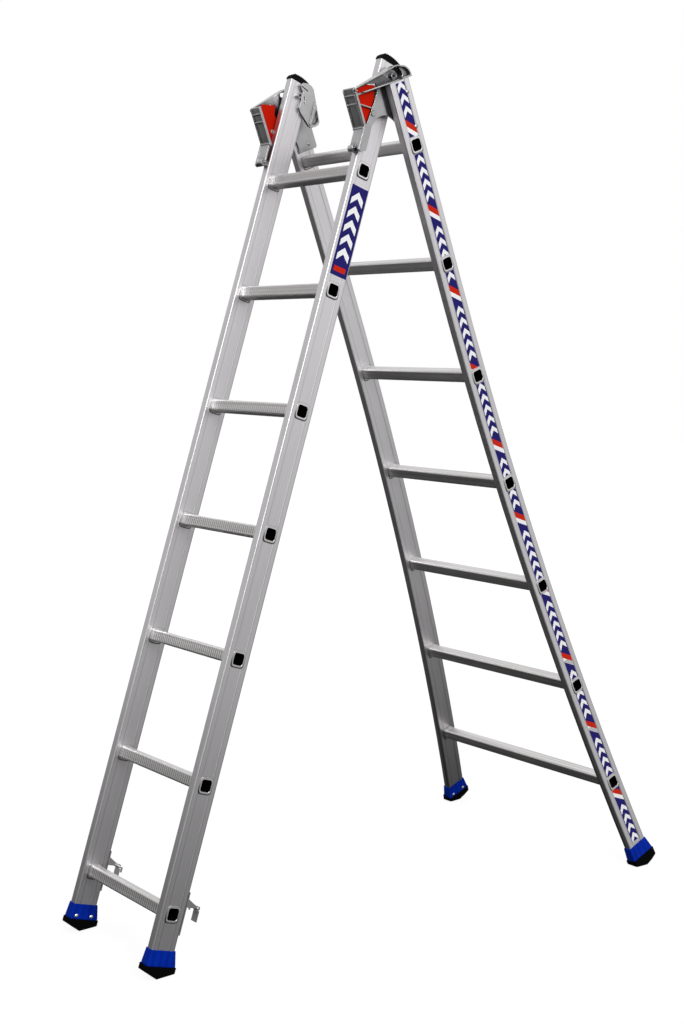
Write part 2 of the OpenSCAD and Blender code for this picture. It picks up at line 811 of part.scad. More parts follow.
// Tongue that swings in to let a rung pass and hangs shut behind it
module hook_tongue(s) {
    pin = [hook_pin_d, hook_pin_s];
    color([0.66, 0.67, 0.68]) front_frame() on_side(s) difference() {
        union() {
            slab(front_x - hook_half + knuckle_w + 0.4, front_x + hook_half - knuckle_w - 0.4) {
                translate(pin) circle(r = knuckle_r);
                translate(pin + [knuckle_r - strap_t, -tongue_l]) square([strap_t, tongue_l]);
            }
            slab(front_x - hook_half, front_x + hook_half)
                translate(pin + [knuckle_r - strap_t, -tongue_l]) square([strap_t, tongue_l - knuckle_r - 1]);
        }
        bar_x(front_in - 10, front_x + stile_t, hook_pin_r + run, pin);
    }
}

// Wire pin of a tongue, its inner end bent down
module hook_pin(s) {
    pin = [hook_pin_d, hook_pin_s];
    x_in = front_x - hook_half - 12;
    color([0.85, 0.85, 0.87]) front_frame() on_side(s) {
        bar_x(x_in, front_x + hook_half + 2, hook_pin_r, pin);
        translate([x_in, pin[0], pin[1]]) sphere(r = hook_pin_r);
        translate([x_in, pin[0], pin[1] - 11]) cylinder(r = hook_pin_r, h = 11);
    }
}

module hook_rivets() {
    color([0.85, 0.85, 0.87]) front_frame() for (s = SIDES) {
        on_side(s) for (r = HOOK_RIVETS) {
            translate([front_x, 0, front_hook_s + r]) rotate([0, 0, 90])
                rivet(stile_d / 2 - 5, stile_d / 2 + 2 * fit + strap_t, [0, 0], rivet_r);
        }
    }
}

for (s = SIDES) rear_stile(s);
for (i = [1 : rung_count]) rear_rung(i);
for (s = SIDES) rear_shoe(s);
for (s = SIDES) rear_sole(s);
rear_shoe_rivets();
for (s = SIDES) head(s);
head_rivets();
for (s = SIDES) lock_pin(s);
for (s = SIDES) lock_lever(s);
for (s = SIDES) front_stile(s);
for (i = [1 : rung_count]) front_rung(i);
for (s = SIDES) front_shoe(s);
for (s = SIDES) front_sole(s);
front_shoe_rivets();
for (s = SIDES) front_cap(s);
for (s = SIDES) hook_plate(s);
for (s = SIDES) hinge_pin(s);
for (s = SIDES) hinge_nut(s);
for (s = SIDES) rung_hook(s);
for (s = SIDES) hook_tongue(s);
for (s = SIDES) hook_pin(s);
hook_rivets();
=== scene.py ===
import json
import math

import bmesh
import bpy
from mathutils import Matrix, Vector


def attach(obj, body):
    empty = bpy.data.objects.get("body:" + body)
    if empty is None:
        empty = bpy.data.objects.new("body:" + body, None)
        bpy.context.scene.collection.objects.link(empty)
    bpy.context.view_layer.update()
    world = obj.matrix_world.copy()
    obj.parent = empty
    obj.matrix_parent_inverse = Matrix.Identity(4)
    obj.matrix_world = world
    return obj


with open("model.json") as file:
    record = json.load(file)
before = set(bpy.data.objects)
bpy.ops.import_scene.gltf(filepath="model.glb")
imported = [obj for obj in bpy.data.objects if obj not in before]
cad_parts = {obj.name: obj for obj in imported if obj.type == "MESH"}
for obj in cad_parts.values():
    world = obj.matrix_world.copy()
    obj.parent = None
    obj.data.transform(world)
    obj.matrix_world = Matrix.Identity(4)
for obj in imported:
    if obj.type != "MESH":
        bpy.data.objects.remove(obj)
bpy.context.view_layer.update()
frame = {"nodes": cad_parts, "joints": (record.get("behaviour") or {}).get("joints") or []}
nodes = frame["nodes"]
joint_at = {joint["name"]: Vector(joint["pos_m"]) for joint in frame["joints"]}

# Sizes of the ladder in metres and radians, as in the solids
HINGE = joint_at["fold"]
FRONT_LEAN = math.radians(17.9)
REAR_LEAN = math.radians(21.1)
FRONT_FIRST = 0.222
REAR_FIRST = 0.158
FRONT_OUT = 0.177
REAR_OUT = 0.212
RUNG_COUNT = 7
RUNG_PITCH = 0.280
RUNG_HALF = 0.014
COLLAR = 0.009
MOUTH_HALF = 0.0135
MOUTH_CORNER = 0.0236
RIM_SIDE = 0.0162
RIM_TALL = 0.0176
STILE_T = 0.020
STILE_FLAT = 0.027
PANEL_HALF = 0.014
PANEL_SINK = 0.0006
FLARE_START = -0.486
FLARE_R = 8.4

# Cross ridges on the rungs
RIDGE_PITCH = 0.0076
RIDGE_RISE = 0.0009
RIDGE_HALF = 0.0098
RIDGE_BED = 0.0002

ORIGIN = (0, 0, 0)
UP = (0, 0, 1)


class Section:
    """One half of the ladder: its directions from the hinge axis, first rung and outer half width."""

    def __init__(self, body, lean, first, out, flared):
        self.body = body
        self.deep = Vector((0, math.cos(lean), math.sin(lean)))
        self.up = Vector((0, -math.sin(lean), math.cos(lean)))
        self.first = first
        self.out = out
        self.flared = flared

    def at(self, x, d, s):
        return HINGE + Vector((x, 0, 0)) + d * self.deep + s * self.up

    def rung_s(self, i):
        return -(self.first + i * RUNG_PITCH)


FRONT = Section("front_section", -FRONT_LEAN, FRONT_FIRST, FRONT_OUT, False)
REAR = Section("rear_section", REAR_LEAN, REAR_FIRST, REAR_OUT, True)


def flare_out(s, off):
    """X of a surface of the right rear stile, off = outward distance from its middle line."""
    middle = REAR_OUT - STILE_T / 2
    if s > FLARE_START:
        return middle + off
    radius = FLARE_R - off
    return middle + FLARE_R - math.sqrt(radius * radius - (FLARE_START - s) ** 2)


# Shader values


class Wire:
    """A shader socket that can be used in Python sums; each sum adds a Math node."""

    def __init__(self, tree, socket_shade_radius=None):
        self.tree = tree
        self.socket_shade_radius = socket_shade_radius

    def node(self, kind, settings=(), values=(), out=0):
        made = self.tree.nodes.new(kind)
        for key, value in dict(settings).items():
            if key == "stops":
                ramp = made.color_ramp
                while len(ramp.elements) < len(value):
                    ramp.elements.new(1.0)
                for element, (place, level) in zip(ramp.elements, value):
                    element.position = place
                    element.color = (level, level, level, 1.0)
            else:
                setattr(made, key, value)
        for key, value in dict(values).items():
            if isinstance(value, Wire):
                self.tree.links.new(value.socket_shade_radius, made.inputs[key])
            else:
                made.inputs[key].default_value = value
        return Wire(self.tree, made.outputs[out] if made.outputs else None)

    def calc(self, operation, first, second=0.0):
        return self.node("ShaderNodeMath", {"operation": operation}, {0: first, 1: second})

    def __add__(self, other):
        return self.calc("ADD", self, other)

    def __radd__(self, other):
        return self.calc("ADD", other, self)

    def __sub__(self, other):
        return self.calc("SUBTRACT", self, other)

    def __rsub__(self, other):
        return self.calc("SUBTRACT", other, self)

    def __mul__(self, other):
        return self.calc("MULTIPLY", self, other)

    def __rmul__(self, other):
        return self.calc("MULTIPLY", other, self)

    def __truediv__(self, other):
        return self.calc("DIVIDE", self, other)

    def __rtruediv__(self, other):
        return self.calc("DIVIDE", other, self)

    def __lt__(self, other):
        return self.calc("LESS_THAN", self, other)

    def __gt__(self, other):
        return self.calc("GREATER_THAN", self, other)

    def __abs__(self):
        return self.calc("ABSOLUTE", self)

    def power(self, exponent):
        return self.calc("POWER", self, exponent)

    def fraction(self):
        return self.calc("FRACT", self)

    def clamp(self, low=0.0, high=1.0):
        return self.calc("MINIMUM", self.calc("MAXIMUM", self, low), high)

    def place(self):
        """Where a point of the surface lies in the shared frame at rest."""
        return self.node("ShaderNodeTexCoord", out="Object")

    def along(self, point, direction, start=ORIGIN):
        """Distance of a point from start along a direction, which may itself vary."""
        moved = self.node("ShaderNodeVectorMath", {"operation": "SUBTRACT"}, {0: point, 1: tuple(start)})
        if not isinstance(direction, Wire):
            direction = tuple(direction)
        return self.node("ShaderNodeVectorMath", {"operation": "DOT_PRODUCT"}, {0: moved, 1: direction}, "Value")

    def x_of(self, point):
        return self.node("ShaderNodeSeparateXYZ", (), {0: point}, 0)

    def xyz(self, x, y, z):
        return self.node("ShaderNodeCombineXYZ", (), {0: x, 1: y, 2: z})

    def noise(self, vector, scale, detail=2.0, rough=0.5):
        return self.node(
            "ShaderNodeTexNoise",
            (),
            {"Vector": vector, "Scale": scale, "Detail": detail, "Roughness": rough},
        )

    def mix(self, factor, first, second):
        """Colour between two colours."""
        return self.node("ShaderNodeMix", {"data_type": "RGBA"}, {0: factor, 6: first, 7: second}, 2)

    def flare(self, s):
        """Outward run of the rear stiles at a height."""
        past = (FLARE_START - s).clamp(0.0, 9.0)
        return past * past / (2 * FLARE_R)

    def from_rung(self, section, s):
        """Distance below the axis of the nearest rung."""
        turn = (RUNG_PITCH / 2 - section.first - s) / RUNG_PITCH
        return (turn.fraction() - 0.5) * RUNG_PITCH

    def past_rim(self, d, below):
        """How far a point of a stile's face lies past the edge of a rung's rim, as a share of the rim's size."""
        return ((abs(d) / RIM_SIDE).power(5) + (abs(below) / RIM_TALL).power(5)).power(0.2) - 1.0


def finish(name, paint, bump_depth, round_edge=0.0, **fixed):
    """A material whose paint(wire) returns the sockets that vary; round_edge softens the look of its edges."""
    material = bpy.data.materials.new(name)
    material.use_nodes = True
    tree = material.node_tree
    shader = tree.nodes["Principled BSDF"]
    for key, value in fixed.items():
        shader.inputs[key.replace("_", " ")].default_value = value
    wire = Wire(tree)
    for key, value in paint(wire).items():
        if key == "bump":
            relief = {"Height": value, "Distance": bump_depth, "Strength": 1.0}
            if round_edge:
                relief["Normal"] = wire.node("ShaderNodeBevel", {"samples": 6}, {"Radius": round_edge})
            key, value = "Normal", wire.node("ShaderNodeBump", (), relief)
        tree.links.new(value.socket_shade_radius, shader.inputs[key])
    return material


def rgb(r, g, b):
    return (r, g, b, 1.0)


def grey(level):
    return rgb(level, level, level)


GROOVE_AT = 0.0155
GROOVE_HALF = 0.0026
EDGE_FROM = 0.0245
EDGE_RUN = 0.003
# Painted shade ring round each rung rim on the stiles
RIM_SHADE_AT = 0.06
RIM_SHADE_RUN = 0.055
# Painted shade towards the bottom of the stiles
LOW_SHADE_FROM = 0.05
LOW_SHADE_RISE = 0.6
TOP_STEP = 1.28
TOP_STEP_FADE = 0.15
RIM_HEIGHT = 0.001


def stile_metal(section, low_shade_out, low_shade_in):
    """Extruded aluminium: fine die lines along the stile, darker near its edges; painted shade along its panel
    grooves, towards the bottom and in a ring round each rung rim.
    """

    def paint(w):
        here = w.place()
        s = w.along(here, section.up, HINGE)
        d = w.along(here, section.deep, HINGE)
        x = abs(w.x_of(here))
        if section.flared:
            x = x - w.flare(s)
        lines = w.noise(w.xyz(x * 900, d * 900, s * 3), 1.0, 3.0, 0.6)
        bands = w.noise(w.xyz(x * 260, d * 260, s * 1.5), 1.0, 2.0, 0.5)
        cloud = w.noise(w.xyz(x * 14, d * 14, s * 5), 1.0, 3.0, 0.55)
        scuff = w.noise(w.xyz(x * 60, d * 60, s * 14), 1.0, 4.0, 0.7)
        side = abs(d)
        # painted shade along the panel groove
        groove = (1.0 - abs(side - GROOVE_AT) / GROOVE_HALF).clamp()
        edge = ((side - EDGE_FROM) / EDGE_RUN).clamp()
        below = w.from_rung(section, s)
        # painted shade: a dark ring round each rung rim, stronger below the rung
        rim_shade_ring = (1.7 - abs(w.past_rim(d, below) - RIM_SHADE_AT) / RIM_SHADE_RUN).clamp()
        rim_shade_ring = rim_shade_ring * (0.50 + (below * 40).clamp(-0.28, 0.42))
        # painted shade: darker towards the floor, most on the inner faces of the rear stiles
        painted_low_shade = (1.0 - w.along(here, UP, (0, 0, LOW_SHADE_FROM)) / LOW_SHADE_RISE).clamp()
        low_shade_strength = low_shade_out + (x < section.out - STILE_T / 2) * (low_shade_in - low_shade_out)
        # random tone plus the painted shade of the grooves and the lower part, and darker near the edges
        wear_and_shade = lines * 0.10 + bands * 0.16 + cloud * 0.20 + groove * 0.26 + edge * 0.24 + painted_low_shade * low_shade_strength
        unringed_tone = w.mix((1.10 - wear_and_shade).clamp(), rgb(0.30, 0.29, 0.30), rgb(0.975, 0.955, 0.975))
        return {
            "Base Color": w.mix(rim_shade_ring, unringed_tone, grey(0.04)),
            "Roughness": 0.32 + lines * 0.06 + cloud * 0.10 + scuff * 0.05,
            "bump": lines * 0.5 + scuff * 0.5,
        }

    return paint


def rung_metal(section, ridged=False):
    """Tube of a rung: die lines along its length, the inside painted near black as shade, a painted highlight on
    the rim at each end with a painted shade outline that is stronger below; dirt between the ridges of a tread.
    """

    def paint(w):
        here = w.place()
        s = w.along(here, section.up, HINGE)
        d = w.along(here, section.deep, HINGE)
        x = w.x_of(here)
        mouth = section.out + (w.flare(s) if section.flared else 0.0)
        below = w.from_rung(section, s)
        up_off, side_off = abs(below), abs(d)
        # painted shade: inside the tube the colour is near black
        square = (up_off < MOUTH_HALF) * (side_off < MOUTH_HALF) * (up_off + side_off < MOUTH_CORNER)
        inside = square * (abs(x) < mouth + 0.0002)
        rim = (abs(x) - mouth + RIM_HEIGHT).clamp(0.0, RIM_HEIGHT) / RIM_HEIGHT
        lines = w.noise(w.xyz(x * 3, d * 900, s * 900), 1.0, 3.0, 0.6)
        cloud = w.noise(w.xyz(x * 9, d * 30, s * 30), 1.0, 3.0, 0.55)
        bands = w.noise(w.xyz(x * 2.5, d * 240, s * 240), 1.0, 2.0, 0.5)
        # rim * 0.6 is a painted highlight on the rim round each tube end
        shine = lines * 0.3 + cloud * 0.3 + (bands - 0.5) * 1.4 + 0.2 + rim * 0.6
        if ridged:
            trodden = ((TOP_STEP - w.along(here, UP)) / TOP_STEP_FADE).clamp(0.2, 1.0)
            tread_dirt_and_rim_shade = ((x / RIDGE_PITCH + 100.0).fraction() < 0.4) * trodden
            shine = shine - tread_dirt_and_rim_shade * 0.9 - (1.0 - trodden) * 0.42
        else:
            # painted shade: a dark outline round the outer edge of the rim, stronger below the axis
            tread_dirt_and_rim_shade = (w.past_rim(d, below) * 14 + 1.4).clamp() * rim * (0.8 + (below * 40).clamp(-0.6, 0.6))
        bright = w.mix(shine.clamp(), rgb(0.50, 0.49, 0.485), rgb(0.95, 0.94, 0.94))
        bright = w.mix((tread_dirt_and_rim_shade * 0.48).clamp(), bright, rgb(0.12, 0.115, 0.11))
        return {
            "Base Color": w.mix(inside, bright, rgb(0.006, 0.006, 0.007)),
            "Roughness": 0.30 + lines * 0.12 + cloud * 0.10 + inside * 0.4,
            "bump": lines,
        }

    return paint


def cast_metal(dark, light):
    """Die cast aluminium: grainy skin, painted shade in its corners and pockets, a painted highlight along its
    edges.
    """

    def paint(w):
        here = w.place()
        grain = w.noise(here, 900.0, 3.0, 0.6)
        cloud = w.noise(here, 45.0, 4.0, 0.6)
        # painted shade: darker where ambient occlusion finds corners and pockets
        occlusion_shade = w.node("ShaderNodeAmbientOcclusion", {"samples": 8}, {"Distance": 0.03}, "AO")
        soft = w.node("ShaderNodeBevel", {"samples": 6}, {"Radius": 0.0018})
        flat = w.node("ShaderNodeNewGeometry", out="Normal")
        # painted highlight: brighter along edges, where the rounded normal turns from the flat one
        edge_highlight = (1.0 - w.along(flat, soft)) * 5
        tone = occlusion_shade.power(2.2) + cloud * 0.35 + grain * 0.10 - 0.38 + edge_highlight.clamp(0.0, 0.8)
        return {
            "Base Color": w.mix(tone.clamp(), dark, light),
            "Roughness": 0.24 + grain * 0.08 + cloud * 0.08,
            "bump": grain * 0.7 + cloud * 0.3,
        }

    return paint


def plated_steel(dark, light, rough, socket_shade_radius=0.0):
    """Zinc plate: slightly spangled, fine scratches; a pin's end has a disc of painted shade round the hinge
    axis, standing for its socket.
    """

    def paint(w):
        here = w.place()
        spangle = w.noise(here, 420.0, 2.0, 0.5)
        scratch = w.noise(here, 1500.0, 2.0, 0.7)
        colour = w.mix(spangle, grey(dark), grey(light))
        if socket_shade_radius:
            d, s = w.along(here, FRONT.deep, HINGE), w.along(here, FRONT.up, HINGE)
            # painted shade: a near black disc round the hinge axis for the pin's socket
            colour = w.mix((d * d + s * s) < socket_shade_radius * socket_shade_radius, colour, grey(0.03))
        return {
            "Base Color": colour,
            "Roughness": rough + spangle * 0.14 + scratch * 0.08,
            "bump": scratch,
        }

    return paint


def moulded(deep, lit, rough, grain_scale, fluted=None):
    """Moulded plastic: fine eroded grain and slight flow shading, soft flutes up the sides of a shoe painted as
    stripes of shade.
    """

    def paint(w):
        here = w.place()
        grain = w.noise(here, grain_scale, 2.0, 0.6)
        flow = w.noise(here, 30.0, 3.0, 0.55)
        shade = flow * 0.7 + grain * 0.3
        if fluted:
            # painted shade: the flutes are only stripes of lighter and darker colour
            shade = (shade + w.calc("SINE", w.along(here, fluted.deep, HINGE) * 350) * 0.15).clamp()
        return {
            "Base Color": w.mix(shade, deep, lit),
            "Roughness": rough + grain * 0.12 + flow * 0.06,
            "bump": grain,
        }

    return paint


def printed(ink, worn):
    """Printed foil: even ink with a faint mottle."""

    def paint(w):
        here = w.place()
        mottle = w.noise(here, 260.0, 3.0, 0.6)
        soft = w.noise(here, 30.0, 2.0, 0.5)
        return {
            "Base Color": w.mix(mottle * 0.5 + soft * 0.5, ink, worn),
            "Roughness": 0.34 + mottle * 0.12,
            "bump": mottle,
        }

    return paint


METAL = {"Metallic": 1.0}
DULL = {"Specular_IOR_Level": 0.04}
DIE_LINES = 0.00003
CAST_SKIN = 0.00008
PLATE_SKIN = 0.00002
PRINT_SKIN = 0.00001

front_stile_metal = finish("front_stile_metal", stile_metal(FRONT, 0.40, 0.42), DIE_LINES, **METAL)
rear_stile_metal = finish("rear_stile_metal", stile_metal(REAR, 0.14, 0.70), DIE_LINES, **METAL)
front_rung_metal = finish("front_rung_metal", rung_metal(FRONT), DIE_LINES, **METAL)
rear_rung_metal = finish("rear_rung_metal", rung_metal(REAR), DIE_LINES, **METAL)
front_tread_metal = finish("front_tread_metal", rung_metal(FRONT, True), DIE_LINES, **METAL)
rear_tread_metal = finish("rear_tread_metal", rung_metal(REAR, True), DIE_LINES, **METAL)

head_cast = cast_metal(rgb(0.06, 0.06, 0.065), rgb(0.63, 0.63, 0.64))
hook_cast = cast_metal(rgb(0.10, 0.10, 0.105), rgb(0.74, 0.74, 0.745))
head_metal = finish("head_metal", head_cast, CAST_SKIN, 0.0014, **METAL)
hook_metal = finish("hook_metal", hook_cast, CAST_SKIN, 0.0012, **METAL)
zinc = finish("zinc", plated_steel(0.66, 0.90, 0.20), PLATE_SKIN, **METAL)
dull_rivet = finish("dull_rivet", plated_steel(0.40, 0.58, 0.36), PLATE_SKIN, **METAL)
pin_steel = finish("pin_steel", plated_steel(0.42, 0.62, 0.30, 0.0034), PLATE_SKIN, **METAL)

shoe_blues = (rgb(0.0003, 0.009, 0.20), rgb(0.0012, 0.032, 0.44), 0.32, 700.0)
sole_rubber = moulded(rgb(0.0008, 0.0008, 0.0009), rgb(0.003, 0.003, 0.0032), 0.66, 500.0)
cap_plastic = moulded(rgb(0.002, 0.002, 0.0022), rgb(0.008, 0.008, 0.0085), 0.50, 600.0)
lever_plastic = moulded(rgb(0.46, 0.006, 0.0006), rgb(0.60, 0.013, 0.0010), 0.36, 700.0)
front_shoe_blue = finish("front_shoe_blue", moulded(*shoe_blues, FRONT), 0.00004, 0.0016, **DULL)
rear_shoe_blue = finish("rear_shoe_blue", moulded(*shoe_blues, REAR), 0.00004, 0.0016, **DULL)
sole_black = finish("sole_black", sole_rubber, 0.00008, **DULL)
cap_black = finish("cap_black", cap_plastic, 0.00006, **DULL)
lever_red = finish("lever_red", lever_plastic, 0.00004, **DULL)

navy_ink = printed(rgb(0.012, 0.010, 0.115), rgb(0.024, 0.020, 0.165))
white_ink = printed(rgb(0.84, 0.84, 0.85), rgb(0.92, 0.92, 0.925))
red_ink = printed(rgb(0.50, 0.018, 0.005), rgb(0.62, 0.028, 0.009))
navy_print = finish("navy_print", navy_ink, PRINT_SKIN, **DULL)
white_print = finish("white_print", white_ink, PRINT_SKIN, **DULL)
red_print = finish("red_print", red_ink, PRINT_SKIN, **DULL)

# Finish of each node by the start of its name, the first that fits
NODE_FINISH = (
    ("front_stile", front_stile_metal),
    ("rear_stile", rear_stile_metal),
    ("front_rung", front_rung_metal),
    ("rear_rung", rear_rung_metal),
    ("head_rivets", dull_rivet),
    ("head", head_metal),
    ("hook_plate", hook_metal),
    ("hook_tongue", zinc),
    ("hook_pin", zinc),
    ("hook_rivets", dull_rivet),
    ("rung_hook", zinc),
    ("front_shoe_rivets", zinc),
    ("rear_shoe_rivets", zinc),
    ("front_shoe", front_shoe_blue),
    ("rear_shoe", rear_shoe_blue),
    ("front_sole", sole_black),
    ("rear_sole", sole_black),
    ("front_cap", cap_black),
    ("lock_lever", lever_red),
    ("lock_pin", dull_rivet),
    ("hinge", pin_steel),
)
for name, node in nodes.items():
    coat = next(material for start, material in NODE_FINISH if name.startswith(start))
    for slot in node.material_slots:
        slot.material = coat


# Pieces made here


def piece_of(name, shape, materials, body):
    """An object from a closed bmesh, riding on a body."""
    bmesh.ops.recalc_face_normals(shape, faces=shape.faces)
    mesh = bpy.data.meshes.new(name)
    shape.to_mesh(mesh)
    shape.free()
    for material in materials:
        mesh.materials.append(material)
    piece = bpy.data.objects.new(name, mesh)
    bpy.context.scene.collection.objects.link(piece)
    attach(piece, body)
    return piece


def tread(name, section, s, half_width, side, metal):
    """Row of cross ridges on the climbing face of a rung, side -1 in front and +1 behind."""
    count = 2 * int(half_width / RIDGE_PITCH)
    base = RUNG_HALF - RIDGE_BED
    low, high = base + 0.0003, base + RIDGE_RISE
    line = []
    for k in range(count):
        x = (k - count / 2) * RIDGE_PITCH
        for share, d in ((0.0, low), (0.30, low), (0.46, high), (0.84, high)):
            line.append((x + share * RIDGE_PITCH, d))
    line.append((count / 2 * RIDGE_PITCH, low))
    shape = bmesh.new()
    rows = []
    for height in (-RIDGE_HALF, RIDGE_HALF):
        rows.append([shape.verts.new(section.at(x, side * d, s + height)) for x, d in line])
        rows.append([shape.verts.new(section.at(x, side * base, s + height)) for x, d in line])
    bottom, bottom_back, top, top_back = rows
    for k in range(len(line) - 1):
        for near, far in ((bottom, top), (top, top_back), (top_back, bottom_back), (bottom_back, bottom)):
            shape.faces.new((near[k], near[k + 1], far[k + 1], far[k]))
    for k in (0, -1):
        shape.faces.new((bottom[k], top[k], top_back[k], bottom_back[k]))
    return piece_of(name, shape, [metal], section.body)


for i in range(RUNG_COUNT):
    inner = FRONT_OUT - STILE_T - COLLAR - 0.002
    tread(f"front_tread_{i + 1}", FRONT, FRONT.rung_s(i), inner, -1, front_tread_metal)
    s = REAR.rung_s(i)
    inner = flare_out(s + RUNG_HALF, -STILE_T / 2) - COLLAR - 0.004
    tread(f"rear_tread_{i + 1}", REAR, s, inner, 1, rear_tread_metal)


def panel_off(d):
    """Outward distance of a stile's outer face from its middle, sunk along the panel."""
    slope = (PANEL_HALF + PANEL_SINK - abs(d)) / PANEL_SINK
    return STILE_T / 2 - PANEL_SINK * min(max(slope, 0.0), 1.0)


def front_face(d, s, lift):
    return FRONT.at(FRONT_OUT - STILE_T / 2 + panel_off(d) + lift, d, s)


def rear_face(d, s, lift):
    return REAR.at(flare_out(s, panel_off(d) + lift), d, s)


FOIL = 0.00008
FOIL_SLICE = 0.02
NAVY, WHITE, RED = range(3)
INKS = [navy_print, white_print, red_print]


def keep_between(outline, low, high):
    """Outline cut to the heights between low and high."""
    for edge, sign in ((low, 1), (high, -1)):
        kept = []
        for (d0, s0), (d1, s1) in zip(outline, outline[1:] + outline[:1]):
            in0, in1 = sign * (s0 - edge) >= 0, sign * (s1 - edge) >= 0
            if in0:
                kept.append((d0, s0))
            if in0 != in1:
                part = (edge - s0) / (s1 - s0)
                kept.append((d0 + part * (d1 - d0), edge))
        outline = kept
    return outline


def lay_foil(shape, outline, layer, ink, face):
    """Thin printed sheet with a given outline on a stile face, layer by layer."""
    flat = bmesh.new()
    flat.faces.new([flat.verts.new((d, s, 0.0)) for d, s in outline])
    low, high = min(s for d, s in outline), max(s for d, s in outline)
    cuts = [((d, 0, 0), (1, 0, 0)) for step in (PANEL_HALF, PANEL_HALF + PANEL_SINK) for d in (-step, step)]
    slices = int((high - low) / FOIL_SLICE)
    cuts += [((0, low + (high - low) * k / (slices + 1), 0), (0, 1, 0)) for k in range(1, slices + 1)]
    for point, normal in cuts:
        whole = flat.verts[:] + flat.edges[:] + flat.faces[:]
        bmesh.ops.bisect_plane(flat, geom=whole, plane_co=point, plane_no=normal)
    for side in (0, 1):
        copies = {
            vert: shape.verts.new(face(vert.co.x, vert.co.y, (layer + side) * FOIL)) for vert in flat.verts
        }
        for sheet in flat.faces:
            shape.faces.new([copies[vert] for vert in sheet.verts]).material_index = ink
        if side == 0:
            under = copies
    for edge in flat.edges:
        if edge.is_boundary:
            a, b = edge.verts
            shape.faces.new((under[a], under[b], copies[b], copies[a])).material_index = ink
    flat.free()


def chevron(middle, s, half, rise, stroke):
    """Outline of an upward chevron in two halves."""
    for sign in (-1, 1):
        yield [
            (middle, s + rise),
            (middle, s + rise - stroke),
            (middle + sign * half, s - stroke),
            (middle + sign * half, s),
        ]


def oblong(left, right, low, high):
    return [(left, low), (right, low), (right, high), (left, high)]


# Large print on the right front stile: a navy field, five white chevrons and a red bar below them
FIELD_LEFT, FIELD_RIGHT = -0.0205, STILE_FLAT
FIELD_LOW, FIELD_HIGH = -0.469, -0.260
FIELD_MARKS = 5
MARK_FIRST = 0.050
MARK_PITCH = 0.0325
MARK_HALF = 0.0170
BAR_LOW, BAR_HIGH = 0.010, 0.022

front_print = bmesh.new()
lay_foil(front_print, oblong(FIELD_LEFT, FIELD_RIGHT, FIELD_LOW, FIELD_HIGH), 0, NAVY, front_face)
middle = (FIELD_LEFT + FIELD_RIGHT) / 2
for k in range(FIELD_MARKS):
    for half in chevron(middle, FIELD_LOW + MARK_FIRST + k * MARK_PITCH, MARK_HALF, 0.017, 0.0155):
        lay_foil(front_print, half, 1, WHITE, front_face)
bar = oblong(middle - MARK_HALF, middle + MARK_HALF, FIELD_LOW + BAR_LOW, FIELD_LOW + BAR_HIGH)
lay_foil(front_print, bar, 1, RED, front_face)
piece_of("front_print", front_print, INKS, FRONT.body)

# Strip down the right rear stile: navy fields with white chevrons, red and white slants between them
STRIP_TOP = -0.016
STRIP_END = -2.010
STRIP_HALF = 0.0136
STRIP_PERIOD = 0.1945
STRIP_START = 0.0745
STRIP_MARKS = 5
NAVY_RUN = 0.166
RED_RUN = 0.016
SLANT = 0.023
RIM_ROOM = 0.0014
SLIVER = 0.0004


def slanted(low, high):
    return [
        (-STRIP_HALF, low + SLANT / 2),
        (STRIP_HALF, low - SLANT / 2),
        (STRIP_HALF, high - SLANT / 2),
        (-STRIP_HALF, high + SLANT / 2),
    ]


strip = []
fields = int((STRIP_TOP - STRIP_END) / STRIP_PERIOD) + 2
for k in range(fields):
    top = STRIP_TOP + STRIP_START - k * STRIP_PERIOD
    strip.append((slanted(top - NAVY_RUN, top), 1, NAVY))
    strip.append((slanted(top - NAVY_RUN - RED_RUN, top - NAVY_RUN), 1, RED))
    for m in range(STRIP_MARKS):
        mark = chevron(0.0, top - 0.030 - m * 0.0275, STRIP_HALF - 0.002, 0.013, 0.0125)
        strip += [(half, 2, WHITE) for half in mark]
stops = [STRIP_TOP]
for i in range(RUNG_COUNT):
    stops += [REAR.rung_s(i) + RIM_TALL + RIM_ROOM, REAR.rung_s(i) - RIM_TALL - RIM_ROOM]
stops.append(STRIP_END)

rear_print = bmesh.new()
for high, low in zip(stops[::2], stops[1::2]):
    lay_foil(rear_print, oblong(-STRIP_HALF, STRIP_HALF, low, high), 0, WHITE, rear_face)
    for outline, layer, ink in strip:
        kept = keep_between(outline, low + SLIVER, high - SLIVER)
        if len(kept) > 2:
            lay_foil(rear_print, kept, layer, ink, rear_face)
piece_of("rear_print", rear_print, INKS, REAR.body)


# Camera, light and floor

CAMERA_AT = HINGE + Vector((2.7773, -2.2296, 1.3449 - HINGE.z))
AZIMUTH = math.radians(51.02)
ELEVATION = math.radians(6.47)
ROLL = math.radians(-0.31)
FOCAL_PIXELS = 1484.5
FRAME_HEIGHT = 1024

look = Vector((
    -math.sin(AZIMUTH) * math.cos(ELEVATION),
    math.cos(AZIMUTH) * math.cos(ELEVATION),
    -math.sin(ELEVATION),
))
right = look.cross(Vector(UP)).normalized()
up = right.cross(look)
right, up = (
    right * math.cos(ROLL) - up * math.sin(ROLL),
    up * math.cos(ROLL) + right * math.sin(ROLL),
)
camera_data = bpy.data.cameras.new("camera")
camera_data.sensor_fit = "VERTICAL"
camera_data.sensor_height = 36.0
camera_data.lens = FOCAL_PIXELS / FRAME_HEIGHT * camera_data.sensor_height
camera_data.clip_start = 0.05
camera_data.clip_end = 60.0
camera = bpy.data.objects.new("camera", camera_data)
camera.matrix_world = Matrix((
    (right.x, up.x, -look.x, CAMERA_AT.x),
    (right.y, up.y, -look.y, CAMERA_AT.y),
    (right.z, up.z, -look.z, CAMERA_AT.z),
    (0, 0, 0, 1),
))
bpy.context.scene.collection.objects.link(camera)
bpy.context.scene.camera = camera


